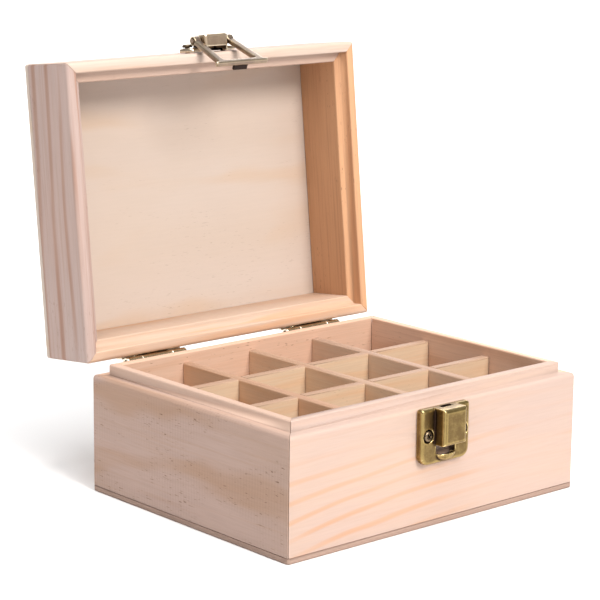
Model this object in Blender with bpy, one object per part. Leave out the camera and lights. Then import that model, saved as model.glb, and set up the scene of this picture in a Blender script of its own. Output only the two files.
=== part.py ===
"""Wooden storage box for essential oil bottles, standing open.

Four mitred boards and a thin panel make the base, four more and a panel make the lid. A raised lip
round the base fits a rabbet in the lid. Five half-lapped dividers part the base into cells. Two
butt hinges with built-in stops carry the lid, and a brass loop on the lid closes over a hooded
catch on the front.

Metres, +Z up, +X along the front to the right, +Y to the back. The origin is the centre of the
underside. The lid is modelled shut and turned open by its parent empty.
"""

import math

import bmesh
import bpy
from mathutils import Matrix, Vector

# Box
LENGTH = 0.1550
DEPTH = 0.1216
BOARD = 0.0085
PANEL = 0.0023
LEDGE_HEIGHT = 0.0490
LEDGE = 0.0049
LIP_HEIGHT = 0.0044
LID_HEIGHT = 0.0300
CORNER_RADIUS = 0.0010
RIM_RADIUS = 0.0016
LIP_RADIUS = 0.0007
PANEL_RADIUS = 0.0007

# Cells
CELLS_LONG = 4
CELLS_DEEP = 3
DIVIDER = 0.0040
DIVIDER_DROP = 0.0042
DIVIDER_RADIUS = 0.0006

# Fits
GAP = 0.0003
GLUE_LINE = 0.0002
LID_PLAY = 0.0004
LAP_PLAY = 0.0002
RUNNING = 0.0003
HOLE_PLAY = 0.0003

# Lid opening, past shut
LID_OPEN = math.radians(96.1)

# Hinges
HINGE_LENGTH = 0.0306
HINGE_INSET = 0.0190
HINGE_REACH = 0.0130
HINGE_SHEET = 0.0010
HINGE_BARREL_RADIUS = 0.0024
HINGE_RISE = 0.0009
HINGE_MIDDLE_KNUCKLE = 0.0152
HINGE_LEAF_CORNER = 0.0015
HINGE_SCREW_SPACING = 0.0190
HINGE_SCREW_DROP = 0.0083
CURL_SLIT = 0.0004

# Screws
SHANK_RADIUS = 0.0010
SCREW_BITE = 0.0055
FLAT_HEAD_RADIUS = 0.0020
PAN_HEAD_RADIUS = 0.00215
PAN_HEAD_HEIGHT = 0.0013
PAN_HEAD_DOME = ((0.62, 0.16), (0.93, 0.52))

# Catch on the front of the base
BRASS_SHEET = 0.0009
CATCH_WIDTH = 0.0260
CATCH_HEIGHT = 0.0224
CATCH_DEPTH = 0.0030
CATCH_DROP = 0.0003
CATCH_TOP_CORNER = 0.0012
CATCH_BOTTOM_CORNER = 0.0038
CATCH_EDGE_RADIUS = 0.0011
CATCH_SCREW_SPACING = 0.0186
CATCH_SCREW_DROP = 0.0108
DIMPLE_DEPTH = 0.0013
DIMPLE_FLARE = 0.0003
HOOD_WIDTH = 0.0122
HOOD_HEIGHT = 0.0146
HOOD_DEPTH = 0.0086
HOOD_RADIUS = 0.0013
SLOT_LENGTH = 0.0056
SLOT_WIDTH = 0.0019
SLOT_SETBACK = 0.0018
SCOOP_WIDTH = 0.0100
SCOOP_HEIGHT = 0.0031
SCOOP_DEPTH = 0.0024

# Latch on the front of the lid
LATCH_WIDTH = 0.0250
LATCH_HEIGHT = 0.0092
LATCH_DEPTH = 0.0018
LATCH_RISE = 0.0024
LATCH_CORNER = 0.0022
LATCH_SCREW_RISE = 0.0084
LATCH_SCREW_SPACING = 0.0190
BRIDGE_WIDTH = 0.0124
BRIDGE_RISE = 0.0003
BRIDGE_TOP = 0.0092
BRIDGE_FRONT_DEPTH = 0.0077
BRIDGE_BACK_DEPTH = 0.0071
BRIDGE_RADIUS = 0.0009
BRIDGE_MOUTH = 0.0024
LATCH_AXIS_OUT = 0.0049
LATCH_AXIS_RISE = 0.0036
LATCH_PIN_RADIUS = 0.0011
LATCH_PIN_OVERHANG = 0.0006
LOOP_WIDTH_AT_PIN = 0.0208
LOOP_WIDTH_AT_BAR = 0.0238
LOOP_FOOT_WIDTH = 0.0280
LOOP_FOOT_TIP = 0.0015
LOOP_ARM = 0.0033
LOOP_BAR = 0.0025
LOOP_THICKNESS = 0.0022
LOOP_LENGTH = 0.0209
LOOP_EYE_RADIUS = 0.0020
LOOP_CORNER = 0.0009
LOOP_EDGE_RADIUS = 0.0005
LOOP_LEAN = math.radians(27.0)
TAB_WIDTH = 0.0074
TAB_LENGTH = 0.0023
TAB_THICKNESS = 0.0012

# Pins
PIN_END_EASE = 0.00025

# Roundness of arcs
ARC_STEPS = 3
ROUND_STEPS = 20
SCREW_STEPS = 12
SMOOTH_ANGLE = math.radians(40.0)

# Places worked out from the sizes
FRONT = -DEPTH / 2
BACK = DEPTH / 2
LIP_TOP = LEDGE_HEIGHT + LIP_HEIGHT
WALL_BOTTOM = PANEL + GAP
RIM = LEDGE_HEIGHT + GAP
LID_TOP = RIM + LID_HEIGHT
LID_WALL_TOP = LID_TOP - PANEL - GAP
RABBET_ROOF = LIP_TOP + GAP
INSIDE_LENGTH = LENGTH - 2 * BOARD
INSIDE_DEPTH = DEPTH - 2 * BOARD
DIVIDER_TOP = LIP_TOP - DIVIDER_DROP
HINGE_AXIS = Vector((0.0, BACK + GAP + HINGE_BARREL_RADIUS, LEDGE_HEIGHT + HINGE_RISE))
HINGE_PIN_RADIUS = HINGE_BARREL_RADIUS - HINGE_SHEET - RUNNING
LATCH_AXIS = Vector((0.0, FRONT - LATCH_AXIS_OUT, RIM + LATCH_AXIS_RISE))
CATCH_TOP = LEDGE_HEIGHT - CATCH_DROP
CATCH_FACE = FRONT - GAP - CATCH_DEPTH
HINGE_CENTRE = LENGTH / 2 - HINGE_INSET - HINGE_LENGTH / 2


def material(name, colour, roughness, metallic=0.0):
    """A plain Principled material."""
    made = bpy.data.materials.new(name)
    made.use_nodes = True
    shader = made.node_tree.nodes["Principled BSDF"]
    shader.inputs["Base Color"].default_value = (*colour, 1.0)
    shader.inputs["Roughness"].default_value = roughness
    shader.inputs["Metallic"].default_value = metallic
    return made


def clear_scene():
    """Remove whatever the scene holds."""
    for obj in list(bpy.data.objects):
        bpy.data.objects.remove(obj, do_unlink=True)


def axis_empty(name, place, parent=None, turn=0.0):
    """An empty whose X axis is a joint's axis."""
    empty = bpy.data.objects.new(name, None)
    empty.empty_display_size = 0.01
    empty.location = place
    empty.rotation_euler = (turn, 0.0, 0.0)
    empty.parent = parent
    bpy.context.scene.collection.objects.link(empty)
    return empty


def add_object(name, bm, finish, parent=None, place=(0.0, 0.0, 0.0), smooth=False):
    """Turn a bmesh into a named object under its parent."""
    bmesh.ops.recalc_face_normals(bm, faces=bm.faces)
    mesh = bpy.data.meshes.new(name)
    bm.to_mesh(mesh)
    bm.free()
    if smooth:
        mesh.shade_smooth()
        mesh.set_sharp_from_angle(angle=SMOOTH_ANGLE)
    mesh.materials.append(finish)
    obj = bpy.data.objects.new(name, mesh)
    obj.parent = parent
    obj.location = place
    bpy.context.scene.collection.objects.link(obj)
    return obj


def add_tool(name, bm, parent=None, place=(0.0, 0.0, 0.0)):
    """A hidden shape that only cuts or joins."""
    bmesh.ops.recalc_face_normals(bm, faces=bm.faces)
    mesh = bpy.data.meshes.new(name)
    bm.to_mesh(mesh)
    bm.free()
    tool = bpy.data.objects.new(name, mesh)
    tool.parent = parent
    tool.location = place
    tool.hide_render = True
    tool.display_type = "WIRE"
    bpy.context.scene.collection.objects.link(tool)
    return tool


def boolean(obj, tool, operation):
    """Add an exact boolean to an object."""
    step = obj.modifiers.new(f"{operation.lower()} {tool.name}", "BOOLEAN")
    step.operation = operation
    step.object = tool
    step.solver = "EXACT"


def arc(centre, radius, start, end, steps=ARC_STEPS):
    """Points of an arc in a plane, both ends included, angles in degrees."""
    points = []
    for i in range(steps + 1):
        angle = math.radians(start + (end - start) * i / steps)
        points.append((centre[0] + radius * math.cos(angle), centre[1] + radius * math.sin(angle)))
    return points


def rounded_rectangle(left, right, low, high, low_radius, high_radius, steps=ARC_STEPS):
    """Anticlockwise outline with one radius for its low corners and one for its high ones."""
    outline = []
    outline += arc((left + low_radius, low + low_radius), low_radius, 180, 270, steps)
    outline += arc((right - low_radius, low + low_radius), low_radius, 270, 360, steps)
    outline += arc((right - high_radius, high - high_radius), high_radius, 0, 90, steps)
    outline += arc((left + high_radius, high - high_radius), high_radius, 90, 180, steps)
    return outline


def prism(outline, start, end, to_space):
    """Extrude a flat outline from one station to another. to_space turns (u, v, w) to a place."""
    bm = bmesh.new()
    face = bm.faces.new([bm.verts.new(to_space(u, v, start)) for u, v in outline])
    pushed = bmesh.ops.extrude_face_region(bm, geom=[face])["geom"]
    moved = [item for item in pushed if isinstance(item, bmesh.types.BMVert)]
    step = Vector(to_space(0.0, 0.0, end)) - Vector(to_space(0.0, 0.0, start))
    bmesh.ops.translate(bm, verts=moved, vec=step)
    return bm


def along_x(u, v, w):
    """An outline in the YZ plane, extruded along X."""
    return (w, u, v)


def along_y(u, v, w):
    """An outline in the XZ plane, extruded along Y."""
    return (u, w, v)


def along_z(u, v, w):
    """An outline in the XY plane, extruded along Z."""
    return (u, v, w)


def cuboid(low, high):
    """A box between two corners."""
    corners = [(low[0], low[1]), (high[0], low[1]), (high[0], high[1]), (low[0], high[1])]
    return prism(corners, low[2], high[2], along_z)


def rod(bm, radius, length, middle, direction, steps=ROUND_STEPS):
    """Add a closed cylinder to a bmesh."""
    turn = Vector((0.0, 0.0, 1.0)).rotation_difference(Vector(direction)).to_matrix().to_4x4()
    bmesh.ops.create_cone(
        bm,
        cap_ends=True,
        segments=steps,
        radius1=radius,
        radius2=radius,
        depth=length,
        matrix=Matrix.Translation(middle) @ turn,
    )


def round_edges(bm, chosen, radius, steps=2):
    """Bevel the edges for which chosen(edge) is true."""
    edges = [edge for edge in bm.edges if chosen(edge)]
    bmesh.ops.bevel(
        bm,
        geom=edges,
        offset=radius,
        offset_type="OFFSET",
        segments=steps,
        profile=0.5,
        affect="EDGES",
        clamp_overlap=True,
    )


def level(edge, axis, value):
    """Whether both ends of an edge lie at one station of an axis."""
    return all(abs(vert.co[axis] - value) < 1e-6 for vert in edge.verts)


def base_section():
    """Section of the base's walls as (inset, height) points: outer face, ledge, lip, inner face."""
    section = [(0.0, WALL_BOTTOM)]
    section += arc((RIM_RADIUS, LEDGE_HEIGHT - RIM_RADIUS), RIM_RADIUS, 180, 90)
    section += [(LEDGE, LEDGE_HEIGHT)]
    section += arc((LEDGE + LIP_RADIUS, LIP_TOP - LIP_RADIUS), LIP_RADIUS, 180, 90)
    section += arc((BOARD - LIP_RADIUS, LIP_TOP - LIP_RADIUS), LIP_RADIUS, 90, 0)
    section += [(BOARD, WALL_BOTTOM)]
    return section


def lid_section():
    """Section of the lid's walls, shut: outer face, rim, rabbet, inner face."""
    rabbet = LEDGE - LID_PLAY
    section = [(0.0, LID_WALL_TOP)]
    section += arc((RIM_RADIUS, RIM + RIM_RADIUS), RIM_RADIUS, 180, 270)
    section += arc((rabbet - LIP_RADIUS, RIM + LIP_RADIUS), LIP_RADIUS, 270, 360)
    section += [(rabbet, RABBET_ROOF)]
    section += arc((BOARD - LIP_RADIUS, RABBET_ROOF + LIP_RADIUS), LIP_RADIUS, 270, 360)
    section += [(BOARD, LID_WALL_TOP)]
    return section


def swept_frame(section):
    """Sweep a wall's section round the box, as one closed frame."""
    bm = bmesh.new()
    rings = []
    for inset, height in section:
        half_x = LENGTH / 2 - inset
        half_y = DEPTH / 2 - inset
        radius = max(CORNER_RADIUS - inset, 0.0)
        outline = rounded_rectangle(-half_x, half_x, -half_y, half_y, radius, radius)
        rings.append([bm.verts.new((x, y, height)) for x, y in outline])
    for ring, above in zip(rings, rings[1:] + rings[:1]):
        for i in range(len(ring)):
            j = (i + 1) % len(ring)
            bm.faces.new((ring[i], ring[j], above[j], above[i]))
    bmesh.ops.remove_doubles(bm, verts=bm.verts, dist=1e-7)
    bmesh.ops.dissolve_degenerate(bm, dist=1e-7, edges=bm.edges)
    return bm


def saw(bm, corner, normal):
    """Cut off what lies beyond a mitre, less half a glue line, and close the cut."""
    normal = Vector(normal).normalized()
    place = Vector(corner) - normal * GLUE_LINE / 2
    geometry = list(bm.verts) + list(bm.edges) + list(bm.faces)
    bmesh.ops.bisect_plane(bm, geom=geometry, plane_co=place, plane_no=normal, clear_outer=True)
    open_edges = [edge for edge in bm.edges if edge.is_boundary]
    bmesh.ops.holes_fill(bm, edges=open_edges, sides=0)


def four_walls(prefix, section, finish, parent=None, place=(0.0, 0.0, 0.0)):
    """Saw a frame into its front, right, back and left boards."""
    front_left = (-LENGTH / 2, FRONT, 0.0)
    front_right = (LENGTH / 2, FRONT, 0.0)
    back_right = (LENGTH / 2, BACK, 0.0)
    back_left = (-LENGTH / 2, BACK, 0.0)
    cuts = {
        "front": ((front_left, (-1, 1, 0)), (front_right, (1, 1, 0))),
        "right": ((front_right, (-1, -1, 0)), (back_right, (-1, 1, 0))),
        "back": ((back_right, (1, -1, 0)), (back_left, (-1, -1, 0))),
        "left": ((back_left, (1, 1, 0)), (front_left, (1, -1, 0))),
    }
    walls = {}
    for side, mitres in cuts.items():
        bm = swept_frame(section)
        for corner, normal in mitres:
            saw(bm, corner, normal)
        walls[side] = add_object(f"{prefix}_wall_{side}", bm, finish, parent, place, smooth=True)
    return walls


def thin_panel(name, low, finish, parent=None, place=(0.0, 0.0, 0.0)):
    """A flat panel as large as the box, its edges eased."""
    half_x = LENGTH / 2
    half_y = DEPTH / 2
    outline = rounded_rectangle(-half_x, half_x, -half_y, half_y, CORNER_RADIUS, CORNER_RADIUS)
    bm = prism(outline, low, low + PANEL, along_z)
    outside = low if parent is None else low + PANEL
    round_edges(bm, lambda edge: level(edge, 2, outside), PANEL_RADIUS)
    return add_object(name, bm, finish, parent, place, smooth=True)


def comb(length, slot_centres, slots_at_top):
    """Outline of a divider with half-lap slots, as (along, height) points."""
    low = WALL_BOTTOM
    middle = (low + DIVIDER_TOP) / 2
    half_slot = DIVIDER / 2 + LAP_PLAY
    outline = []
    if slots_at_top:
        outline += [(-length / 2, low), (length / 2, low), (length / 2, DIVIDER_TOP)]
        for centre in reversed(slot_centres):
            outline += [(centre + half_slot, DIVIDER_TOP), (centre + half_slot, middle - GAP / 2)]
            outline += [(centre - half_slot, middle - GAP / 2), (centre - half_slot, DIVIDER_TOP)]
        outline += [(-length / 2, DIVIDER_TOP)]
    else:
        outline += [(-length / 2, low)]
        for centre in slot_centres:
            outline += [(centre - half_slot, low), (centre - half_slot, middle + GAP / 2)]
            outline += [(centre + half_slot, middle + GAP / 2), (centre + half_slot, low)]
        outline += [(length / 2, low), (length / 2, DIVIDER_TOP), (-length / 2, DIVIDER_TOP)]
    return outline


def divider_stations(inside, cells):
    """Centres of the dividers that part a width into equal cells."""
    cell = (inside - (cells - 1) * DIVIDER) / cells
    return [-inside / 2 + (i + 1) * (cell + DIVIDER) - DIVIDER / 2 for i in range(cells - 1)]


def make_dividers(finish):
    """Long dividers slotted from above, cross dividers slotted from below."""
    across = divider_stations(INSIDE_LENGTH, CELLS_LONG)
    deep = divider_stations(INSIDE_DEPTH, CELLS_DEEP)
    half = DIVIDER / 2

    def top_edges(edge, axis):
        run = abs((edge.verts[0].co - edge.verts[1].co)[axis])
        return level(edge, 2, DIVIDER_TOP) and run > DIVIDER

    for number, y in enumerate(deep, 1):
        bm = prism(comb(INSIDE_LENGTH - 2 * GAP, across, True), y - half, y + half, along_y)
        round_edges(bm, lambda edge: top_edges(edge, 0), DIVIDER_RADIUS)
        add_object(f"long_divider_{number}", bm, finish, smooth=True)
    for number, x in enumerate(across, 1):
        bm = prism(comb(INSIDE_DEPTH - 2 * GAP, deep, False), x - half, x + half, along_x)
        round_edges(bm, lambda edge: top_edges(edge, 1), DIVIDER_RADIUS)
        add_object(f"cross_divider_{number}", bm, finish, smooth=True)


def curl(wall_side, centre, radius, sheet, plate_end):
    """Outline of a leaf's sheet rolled into a knuckle, in the YZ plane.

    The sheet starts at height plate_end, runs to the knuckle with its wall side on the plane
    y = wall_side, and rolls round the centre. Its free end leaves a slit before the sheet's face.
    """
    upwards = 1.0 if centre.z > plate_end else -1.0
    bore = radius - sheet
    end = math.degrees(math.acos((sheet + CURL_SLIT) / radius - 1.0))
    outer = arc((0.0, 0.0), radius, 180.0, -end, ROUND_STEPS)
    inner = arc((0.0, 0.0), bore, -end, 180.0, ROUND_STEPS)
    rolled = [(centre.y + y, centre.z + upwards * z) for y, z in outer + inner]
    return [(wall_side, plate_end)] + rolled + [(wall_side + sheet, plate_end)]


def hinge_leaf(name, x, finish, to_lid, parent, place):
    """One leaf of a butt hinge, rolled round the pin, with holes for two flat-head screws."""
    rise = 1.0 if to_lid else -1.0
    wall_side = BACK + GAP
    plate_end = HINGE_AXIS.z + rise * HINGE_REACH
    outline = curl(wall_side, HINGE_AXIS, HINGE_BARREL_RADIUS, HINGE_SHEET, plate_end)
    half = HINGE_LENGTH / 2
    bm = prism(outline, x - half, x + half, along_x)

    def leaf_corner(edge):
        along = level(edge, 2, plate_end)
        across = level(edge, 0, x - half) or level(edge, 0, x + half)
        return along and across

    round_edges(bm, leaf_corner, HINGE_LEAF_CORNER, ARC_STEPS)
    leaf = add_object(name, bm, finish, parent, place, smooth=True)

    # The other leaf's knuckles turn in these notches.
    knuckle = HINGE_MIDDLE_KNUCKLE / 2
    clear = HINGE_BARREL_RADIUS + GAP
    near = HINGE_AXIS.z + rise * clear
    far = HINGE_AXIS.z - rise * 2 * clear
    low, high = min(near, far), max(near, far)
    if to_lid:
        spans = ((-half - GAP, -knuckle), (knuckle, half + GAP))
    else:
        spans = ((-knuckle - GAP, knuckle + GAP),)
    for number, (left, right) in enumerate(spans):
        notch = cuboid(
            (x + left, wall_side - GAP, low),
            (x + right, HINGE_AXIS.y + 2 * clear, high),
        )
        boolean(leaf, add_tool(f"{name} notch {number}", notch, parent, place), "DIFFERENCE")

    holes = bmesh.new()
    for side in (-1, 1):
        centre = hinge_screw_place(x, side, rise)
        countersink(holes, centre)
    boolean(leaf, add_tool(f"{name} holes", holes, parent, place), "DIFFERENCE")
    return leaf


def hinge_screw_place(x, side, rise):
    """Where a hinge screw's head is flush with the leaf's outer face."""
    return Vector((
        x + side * HINGE_SCREW_SPACING / 2,
        BACK + GAP + HINGE_SHEET,
        HINGE_AXIS.z + rise * HINGE_SCREW_DROP,
    ))


def countersink(bm, flush):
    """Add a cone that clears a flat head, wide at the leaf's outer face."""
    over = HOLE_PLAY
    depth = HINGE_SHEET + 2 * over
    slope = (FLAT_HEAD_RADIUS - SHANK_RADIUS) / HINGE_SHEET
    turn = Matrix.Rotation(math.radians(90.0), 4, "X")
    bmesh.ops.create_cone(
        bm,
        cap_ends=True,
        segments=SCREW_STEPS,
        radius1=SHANK_RADIUS + HOLE_PLAY - slope * over,
        radius2=FLAT_HEAD_RADIUS + HOLE_PLAY + slope * over,
        depth=depth,
        matrix=Matrix.Translation(flush - Vector((0.0, HINGE_SHEET / 2, 0.0))) @ turn.inverted(),
    )


def turned(profile, steps):
    """Spin a profile of (radius, height) points about Z, closed at both poles."""
    bm = bmesh.new()
    verts = [bm.verts.new((radius, 0.0, height)) for radius, height in profile]
    edges = [bm.edges.new(pair) for pair in zip(verts, verts[1:])]
    bmesh.ops.spin(
        bm,
        geom=verts + edges,
        cent=(0.0, 0.0, 0.0),
        axis=(0.0, 0.0, 1.0),
        angle=math.tau,
        steps=steps,
        use_merge=True,
    )
    bmesh.ops.remove_doubles(bm, verts=bm.verts, dist=1e-6)
    return bm


def wood_screw(name, flush, outward, length, flat_head, finish, parent=None, origin=None):
    """A wood screw whose head ends at flush and points outward, +1 or -1 along Y."""
    if flat_head:
        head = [(0.0, 0.0), (FLAT_HEAD_RADIUS, 0.0), (SHANK_RADIUS, -HINGE_SHEET)]
        neck = HINGE_SHEET
    else:
        head = [(0.0, 0.0)]
        head += [(out * PAN_HEAD_RADIUS, -down * PAN_HEAD_HEIGHT) for out, down in PAN_HEAD_DOME]
        head += [(PAN_HEAD_RADIUS, -PAN_HEAD_HEIGHT)]
        head += [(SHANK_RADIUS, -PAN_HEAD_HEIGHT)]
        neck = PAN_HEAD_HEIGHT
    tip = SHANK_RADIUS * 2
    body = [(SHANK_RADIUS, -neck - length + tip), (0.0, -neck - length)]
    bm = turned(head + body, SCREW_STEPS)
    turn = Matrix.Rotation(math.radians(-90.0 * outward), 4, "X")
    bmesh.ops.transform(bm, matrix=turn, verts=bm.verts)
    origin = origin or Vector((0.0, 0.0, 0.0))
    return add_object(name, bm, finish, parent, flush - origin, smooth=True)


def pilot_holes(wall, name, mouths, inward, depth, parent=None, place=(0.0, 0.0, 0.0)):
    """Drill a wall for its screws, from the outer face."""
    holes = bmesh.new()
    for mouth in mouths:
        middle = mouth + Vector((0.0, inward * (depth - GAP) / 2, 0.0))
        rod(holes, SHANK_RADIUS + HOLE_PLAY, depth + GAP, middle, (0, 1, 0), SCREW_STEPS)
    boolean(wall, add_tool(name, holes, parent, place), "DIFFERENCE")


def make_hinge(side, x, walls, lid_walls, lid_axis, brass, steel):
    """Two leaves, a pin and four screws, drilled into both back boards."""
    shut = -HINGE_AXIS
    hinge_leaf(f"hinge_base_leaf_{side}", x, brass, False, None, (0.0, 0.0, 0.0))
    hinge_leaf(f"hinge_lid_leaf_{side}", x, brass, True, lid_axis, shut)
    pin = bmesh.new()
    rod(pin, HINGE_PIN_RADIUS, HINGE_LENGTH, (0.0, 0.0, 0.0), (1, 0, 0))
    round_edges(pin, lambda edge: level(edge, 0, edge.verts[0].co.x), PIN_END_EASE, 1)
    centre = HINGE_AXIS + Vector((x, 0.0, 0.0))
    add_object(f"hinge_pin_{side}", pin, brass, place=centre, smooth=True)
    length = SCREW_BITE
    for rise, label in ((-1.0, "base"), (1.0, "lid")):
        wall = lid_walls["back"] if rise > 0 else walls["back"]
        parent = lid_axis if rise > 0 else None
        place = shut if rise > 0 else Vector((0.0, 0.0, 0.0))
        mouths = []
        for number, end in enumerate((-1, 1), 1):
            flush = hinge_screw_place(x, end, rise)
            wood_screw(
                f"hinge_{label}_screw_{side}_{number}", flush, 1.0, length, True, steel, parent, -place
            )
            mouths.append(Vector((flush.x, BACK, flush.z)))
        pilot_holes(wall, f"{label} hinge holes {side}", mouths, -1.0, length, parent, place)


def pan_plate(width, low, high, depth, low_radius, high_radius):
    """Outer form of a pressed plate that stands off the wood, its front edges rolled."""
    outline = rounded_rectangle(-width / 2, width / 2, low, high, low_radius, high_radius, 4)
    face = FRONT - GAP - depth
    bm = prism(outline, FRONT - GAP, face, along_y)
    round_edges(bm, lambda edge: level(edge, 1, face), CATCH_EDGE_RADIUS, 3)
    return bm


def pan_hollow(width, low, high, depth, low_radius, high_radius):
    """Inner form of a pressed plate, cut from its back."""
    inset = BRASS_SHEET
    outline = rounded_rectangle(
        -width / 2 + inset,
        width / 2 - inset,
        low + inset,
        high - inset,
        max(low_radius - inset, inset),
        max(high_radius - inset, inset / 2),
        4,
    )
    face = FRONT - GAP - depth + inset
    bm = prism(outline, FRONT, face, along_y)
    round_edges(bm, lambda edge: level(edge, 1, face), CATCH_EDGE_RADIUS / 3, 1)
    return bm


def scoop_form(top, shrink):
    """Lower half of an ellipsoid on the catch's face, for the scoop and for its hollow."""
    bm = bmesh.new()
    bmesh.ops.create_uvsphere(
        bm, u_segments=ROUND_STEPS, v_segments=ROUND_STEPS // 2, radius=1.0
    )
    size = Vector((SCOOP_WIDTH / 2 - shrink, SCOOP_DEPTH - shrink, SCOOP_HEIGHT - shrink))
    bmesh.ops.scale(bm, vec=size, verts=bm.verts)
    bmesh.ops.translate(bm, vec=(0.0, CATCH_FACE, top), verts=bm.verts)
    geometry = list(bm.verts) + list(bm.edges) + list(bm.faces)
    level_cut = top + (GAP if shrink else 0.0)
    bmesh.ops.bisect_plane(
        bm, geom=geometry, plane_co=(0.0, 0.0, level_cut), plane_no=(0, 0, 1), clear_outer=True
    )
    bmesh.ops.holes_fill(bm, edges=[edge for edge in bm.edges if edge.is_boundary], sides=0)
    return bm


def make_catch(front_wall, brass, steel):
    """The pressed catch: a pan with a drawn hood, a window below it and a scoop at the foot."""
    top = CATCH_TOP
    low = top - CATCH_HEIGHT
    sizes = (CATCH_WIDTH, low, top, CATCH_DEPTH, CATCH_BOTTOM_CORNER, CATCH_TOP_CORNER)
    catch = add_object("catch_plate", pan_plate(*sizes), brass, smooth=True)

    hood_low = top - HOOD_HEIGHT
    hood_face = FRONT - GAP - HOOD_DEPTH
    half_hood = HOOD_WIDTH / 2
    hood = cuboid((-half_hood, hood_face, hood_low), (half_hood, FRONT - GAP, top))
    round_edges(hood, lambda edge: level(edge, 1, hood_face), HOOD_RADIUS)
    boolean(catch, add_tool("hood form", hood), "UNION")

    loop_foot = LATCH_AXIS.z - LOOP_LENGTH - LOOP_BAR / 2
    scoop_top = loop_foot - 2 * GAP
    boolean(catch, add_tool("scoop form", scoop_form(scoop_top, 0.0)), "UNION")

    boolean(catch, add_tool("pan hollow", pan_hollow(*sizes)), "DIFFERENCE")
    inset = BRASS_SHEET
    hollow = cuboid(
        (-half_hood + inset, hood_face + inset, scoop_top), (half_hood - inset, FRONT, top - inset)
    )
    window = cuboid(
        (-half_hood + inset, hood_face - GAP, scoop_top), (half_hood - inset, FRONT, hood_low)
    )
    boolean(catch, add_tool("hood hollow", hollow), "DIFFERENCE")
    boolean(catch, add_tool("catch window", window), "DIFFERENCE")
    boolean(catch, add_tool("scoop hollow", scoop_form(scoop_top, inset)), "DIFFERENCE")

    slot_middle = FRONT - GAP - HOOD_DEPTH / 2 + SLOT_SETBACK
    half_slot = SLOT_LENGTH / 2
    end = SLOT_WIDTH / 2
    radius = end * 0.99
    outline = rounded_rectangle(
        -half_slot, half_slot, slot_middle - end, slot_middle + end, radius, radius
    )
    slot = prism(outline, top - 2 * inset, top + inset, along_z)
    boolean(catch, add_tool("hood slot", slot), "DIFFERENCE")

    height = top - CATCH_SCREW_DROP
    press_dimples(catch, CATCH_SCREW_SPACING, height)
    seat = GAP + CATCH_DEPTH - DIMPLE_DEPTH
    fix_plate("catch", catch, front_wall, CATCH_SCREW_SPACING, height, seat, steel)


def press_dimples(catch, spacing, height):
    """Press a round dimple under each screw head: a cup joined to the sheet, then sunk."""
    cups = bmesh.new()
    wells = bmesh.new()
    well = PAN_HEAD_RADIUS + HOLE_PLAY
    floor = CATCH_FACE + DIMPLE_DEPTH
    cup_top = CATCH_FACE + BRASS_SHEET / 2
    cup_depth = floor + BRASS_SHEET - cup_top
    turn = Matrix.Rotation(math.radians(90.0), 4, "X")
    for side in (-1, 1):
        x = side * spacing / 2
        rod(cups, well + BRASS_SHEET, cup_depth, (x, cup_top + cup_depth / 2, height), (0, 1, 0))
        bmesh.ops.create_cone(
            wells,
            cap_ends=True,
            segments=ROUND_STEPS,
            radius1=well,
            radius2=well + 2 * DIMPLE_FLARE,
            depth=2 * DIMPLE_DEPTH,
            matrix=Matrix.Translation((x, CATCH_FACE, height)) @ turn,
        )
    boolean(catch, add_tool("dimple cups", cups), "UNION")
    boolean(catch, add_tool("dimple wells", wells), "DIFFERENCE")


def fix_plate(label, plate, wall, spacing, height, seat, steel, parent=None, place=None):
    """Two pan-head screws through a plate, their heads at rest seat out from the board."""
    place = place or Vector((0.0, 0.0, 0.0))
    holes = bmesh.new()
    mouths = []
    surface = FRONT - seat
    for number, side in enumerate((-1, 1), 1):
        x = side * spacing / 2
        flush = Vector((x, surface - GAP - PAN_HEAD_HEIGHT, height))
        length = GAP + seat + SCREW_BITE
        wood_screw(f"{label}_screw_{number}", flush, -1.0, length, False, steel, parent, -place)
        middle = Vector((x, surface + BRASS_SHEET / 2, height))
        rod(holes, SHANK_RADIUS + HOLE_PLAY, 2 * BRASS_SHEET, middle, (0, 1, 0), SCREW_STEPS)
        mouths.append(Vector((x, FRONT, height)))
    boolean(plate, add_tool(f"{label} plate holes", holes, parent, place), "DIFFERENCE")
    pilot_holes(wall, f"{label} wall holes", mouths, 1.0, SCREW_BITE + GAP, parent, place)


def bridge_form(inset):
    """The drawn bridge that carries the loop's pin, or with an inset its hollow."""
    half = BRIDGE_WIDTH / 2 - inset
    wood = FRONT if inset else FRONT - GAP
    low = RIM + BRIDGE_RISE + inset
    high = RIM + BRIDGE_TOP - inset
    front = FRONT - BRIDGE_FRONT_DEPTH + inset
    back = FRONT - BRIDGE_BACK_DEPTH + inset
    bm = prism([(wood, low), (wood, high), (back, high), (front, low)], -half, half, along_x)
    if not inset:
        round_edges(bm, lambda edge: not level(edge, 1, wood), BRIDGE_RADIUS)
    return bm


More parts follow.
